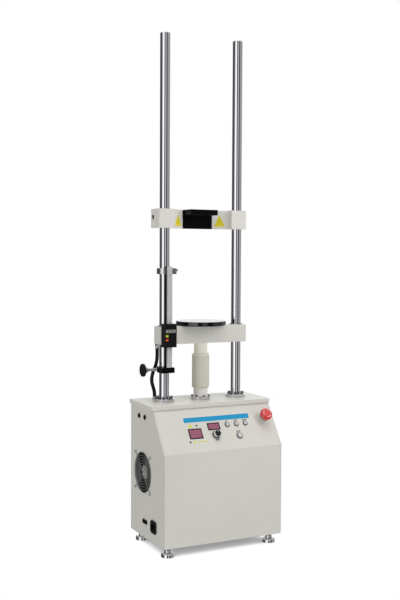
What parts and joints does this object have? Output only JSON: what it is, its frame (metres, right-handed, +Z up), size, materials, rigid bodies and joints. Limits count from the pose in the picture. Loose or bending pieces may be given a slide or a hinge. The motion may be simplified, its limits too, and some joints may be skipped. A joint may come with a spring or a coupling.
{
  "type": "universal testing machine",
  "caption": "Bench load frame with a sloped control cabinet, chromed columns, a clamped upper crosshead, and a screw-driven moving beam that carries a round platen and a travel readout.",
  "frame": {"origin": "middle of the footprint, on the surface that the feet stand on", "axes": "+Z up along the columns, +X to the right along the beam, +Y to the back"},
  "size_m": [0.389, 0.2444, 1.494],
  "materials": {
    "cabinet": "fine textured off-white paint",
    "top_plate": "satin off-white paint",
    "beam_paint": "satin off-white paint",
    "crosshead_paint": "satin off-white paint",
    "jack_paint": "beige enamel",
    "tube_paint": "cream enamel",
    "column_chrome": "hard chrome, ground",
    "bright_steel": "turned and plated",
    "dark_steel": "blackened, fine turned",
    "black_steel": "satin black",
    "plain_steel": "plain",
    "bronze": "bearing bronze",
    "scale_aluminium": "anodised",
    "black_plastic": "satin black",
    "foot_chrome": "polished",
    "red_plastic": "gloss red",
    "window_red": "dark red filter",
    "lcd_grey": "grey display",
    "key_yellow": "moulded",
    "key_orange": "moulded",
    "board_green": "circuit board",
    "lead_black": "black sheath"
  },
  "bodies": {
    "base": {"side_panel_left": "cabinet", "side_panel_right": "cabinet", "front_panel": "cabinet", "rear_panel": "cabinet", "floor_panel": "cabinet", "top_plate": "top_plate", "guide_tube": "tube_paint", "column_left": "column_chrome", "column_right": "column_chrome", "column_collars": "bright_steel", "flange_screws": "bright_steel", "jack_flange": "bright_steel", "control_bezels": "bright_steel", "fan_guard": "bright_steel", "lead_gland_plate": "bright_steel", "frame_posts": "plain_steel", "frame_nuts": "plain_steel", "gearbox_housing": "plain_steel", "gear_motor": "plain_steel", "power_supply": "plain_steel", "display_bezels": "black_plastic", "switch_bodies": "black_plastic", "fan_frame": "black_plastic", "mains_inlet": "black_plastic", "signal_sockets": "black_plastic", "display_windows": "window_red", "control_board": "board_green", "beam_lead": "lead_black"},
    "lift": {"jack_barrel": "jack_paint", "jack_ram": "tube_paint", "lift_screw": "plain_steel", "moving_beam": "beam_paint", "beam_bushes": "plain_steel", "platen": "dark_steel", "readout_body": "black_plastic", "readout_lcd": "lcd_grey", "lead_gland_beam": "bright_steel"},
    "upper_crosshead": {"crosshead": "crosshead_paint", "crosshead_clamp_screws": "black_steel", "load_bracket": "black_steel"},
    "scale": {"scale_bar": "scale_aluminium", "scale_ring": "bright_steel", "scale_clamp": "black_steel"},
    "lift_nut_body": {"lift_nut": "bronze"},
    "wing_screw_body": {"wing_screw": "bright_steel"},
    "clamp_knob_body": {"clamp_knob": "black_plastic"},
    "readout_key_upper_body": {"readout_key_upper": "key_yellow"},
    "readout_key_lower_body": {"readout_key_lower": "key_orange"},
    "speed_knob_body": {"speed_knob": "bright_steel"},
    "button_up_body": {"button_up": "bright_steel"},
    "button_stop_body": {"button_stop": "bright_steel"},
    "button_down_body": {"button_down": "bright_steel"},
    "button_start_body": {"button_start": "bright_steel"},
    "stop_stem_body": {"stop_stem": "plain_steel"},
    "stop_head_body": {"stop_head": "red_plastic"},
    "fan_rotor_body": {"fan_rotor": "black_plastic"},
    "foot_front_left_body": {"foot_front_left": "foot_chrome"},
    "foot_front_right_body": {"foot_front_right": "foot_chrome"},
    "foot_rear_left_body": {"foot_rear_left": "foot_chrome"},
    "foot_rear_right_body": {"foot_rear_right": "foot_chrome"}
  },
  "joints": [
    {"name": "lift_slide", "type": "slide", "parent": "base", "child": "lift", "axis": [0, 0, 1], "range_m": [-0.01, 0.07], "deforming": ["beam_lead"]},
    {"name": "lift_nut_turn", "type": "hinge", "parent": "base", "child": "lift_nut_body", "pos_m": [0, 0.03375, 0.36], "axis": [0, 0, 1], "range_deg": [-370, 2530]},
    {"name": "crosshead_slide", "type": "slide", "parent": "base", "child": "upper_crosshead", "axis": [0, 0, 1], "range_m": [-0.06, 0.48]},
    {"name": "scale_slide", "type": "slide", "parent": "base", "child": "scale", "axis": [0, 0, 1], "range_m": [-0.02, 0.015]},
    {"name": "wing_screw_turn", "type": "hinge", "parent": "scale", "child": "wing_screw_body", "pos_m": [-0.093, 0.02, 0.8035], "axis": [0, -1, 0], "range_deg": [-180, 180]},
    {"name": "clamp_knob_turn", "type": "hinge", "parent": "scale", "child": "clamp_knob_body", "pos_m": [-0.18, 0.03375, 0.51525], "axis": [-1, 0, 0], "range_deg": [-180, 180]},
    {"name": "speed_knob_turn", "type": "hinge", "parent": "base", "child": "speed_knob_body", "pos_m": [-0.012, -0.0938, 0.33401], "axis": [0, -0.8184, 0.5747], "range_deg": [-150, 150]},
    {"name": "stop_push", "type": "slide", "parent": "base", "child": "stop_stem_body", "axis": [0, 0.8184, -0.5747], "range_m": [0, 0.004]},
    {"name": "stop_twist", "type": "hinge", "parent": "stop_stem_body", "child": "stop_head_body", "pos_m": [0.1565, -0.07024, 0.36756], "axis": [0, -0.8184, 0.5747], "range_deg": [0, 45], "stiffness_Nm_per_rad": 0.05},
    {"name": "fan_spin", "type": "hinge", "parent": "base", "child": "fan_rotor_body", "pos_m": [-0.175, 0.02645, 0.217], "axis": [-1, 0, 0], "continuous": true},
    {"name": "readout_key_upper_press", "type": "slide", "parent": "lift", "child": "readout_key_upper_body", "axis": [0, 1, 0], "range_m": [0, 0.0008], "stiffness_N_per_m": 900},
    {"name": "readout_key_lower_press", "type": "slide", "parent": "lift", "child": "readout_key_lower_body", "axis": [0, 1, 0], "range_m": [0, 0.0008], "stiffness_N_per_m": 900},
    {"name": "button_up_press", "type": "slide", "parent": "base", "child": "button_up_body", "axis": [0, 0.8184, -0.5747], "range_m": [0, 0.002], "stiffness_N_per_m": 800},
    {"name": "button_stop_press", "type": "slide", "parent": "base", "child": "button_stop_body", "axis": [0, 0.8184, -0.5747], "range_m": [0, 0.002], "stiffness_N_per_m": 800},
    {"name": "button_down_press", "type": "slide", "parent": "base", "child": "button_down_body", "axis": [0, 0.8184, -0.5747], "range_m": [0, 0.002], "stiffness_N_per_m": 800},
    {"name": "button_start_press", "type": "slide", "parent": "base", "child": "button_start_body", "axis": [0, 0.8184, -0.5747], "range_m": [0, 0.002], "stiffness_N_per_m": 800},
    {"name": "foot_front_left_turn", "type": "hinge", "parent": "base", "child": "foot_front_left_body", "pos_m": [-0.165, -0.09425, 0], "axis": [0, 0, 1], "range_deg": [-180, 180]},
    {"name": "foot_front_right_turn", "type": "hinge", "parent": "base", "child": "foot_front_right_body", "pos_m": [0.165, -0.09425, 0], "axis": [0, 0, 1], "range_deg": [-180, 180]},
    {"name": "foot_rear_left_turn", "type": "hinge", "parent": "base", "child": "foot_rear_left_body", "pos_m": [-0.165, 0.08975, 0], "axis": [0, 0, 1], "range_deg": [-180, 180]},
    {"name": "foot_rear_right_turn", "type": "hinge", "parent": "base", "child": "foot_rear_right_body", "pos_m": [0.165, 0.08975, 0], "axis": [0, 0, 1], "range_deg": [-180, 180]}
  ],
  "couplings": [
    {"joint": "lift_nut_turn", "follows": "lift_slide", "rad_per_m": 628.32}
  ]
}
